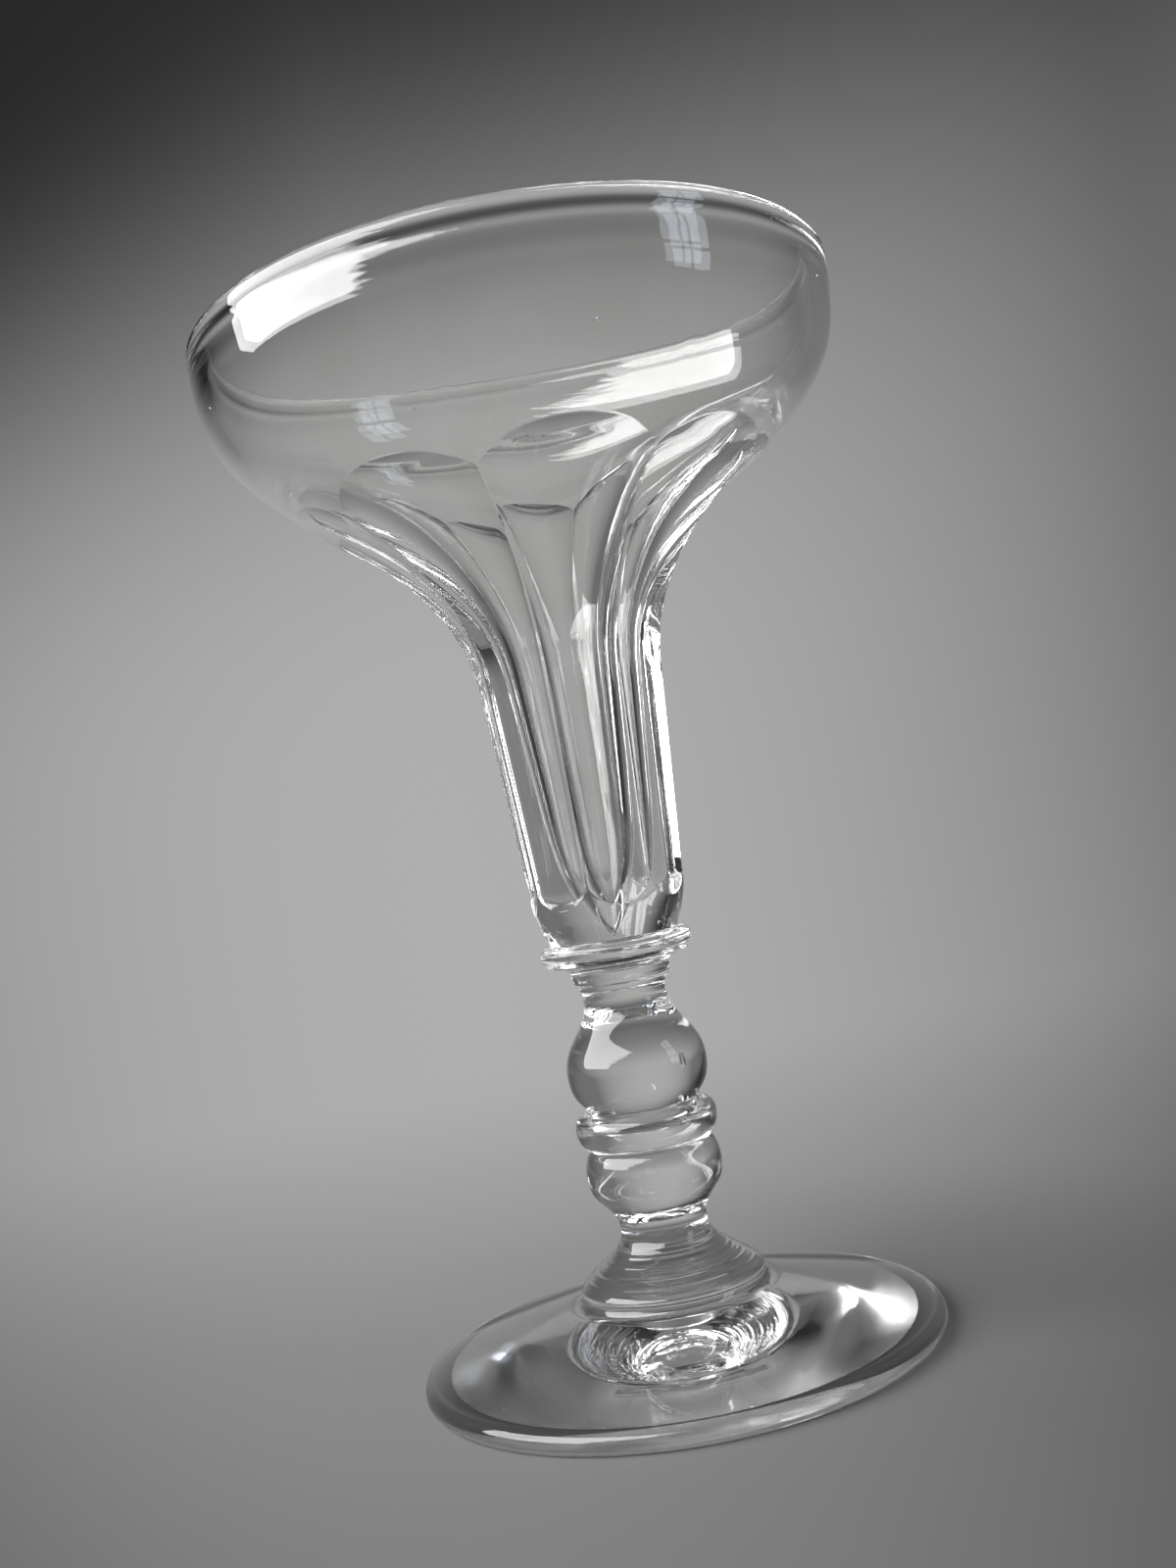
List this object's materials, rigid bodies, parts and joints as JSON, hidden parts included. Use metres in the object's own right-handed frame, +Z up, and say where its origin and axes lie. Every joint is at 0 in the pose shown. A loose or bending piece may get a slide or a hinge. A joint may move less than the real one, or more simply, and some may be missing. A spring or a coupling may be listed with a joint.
{
  "type": "champagne glass",
  "caption": "Clear champagne coupe: shallow cup on a hollow, panel-cut trumpet stem with a collar, ball knop, ring and lower knop on a spread round foot.",
  "frame": {"origin": "on the table under the middle of the foot", "axes": "+Z up along the axis of the glass; one of the cut panels faces -Y"},
  "size_m": [0.0926, 0.0926, 0.15],
  "materials": {
    "clear_glass": "fire-polished clear glass, with ground and polished panels"
  },
  "bodies": {
    "root": {"foot": "clear_glass", "lower_knop": "clear_glass", "ring_knop": "clear_glass", "ball_knop": "clear_glass", "collar": "clear_glass", "bowl": "clear_glass"}
  },
  "joints": []
}
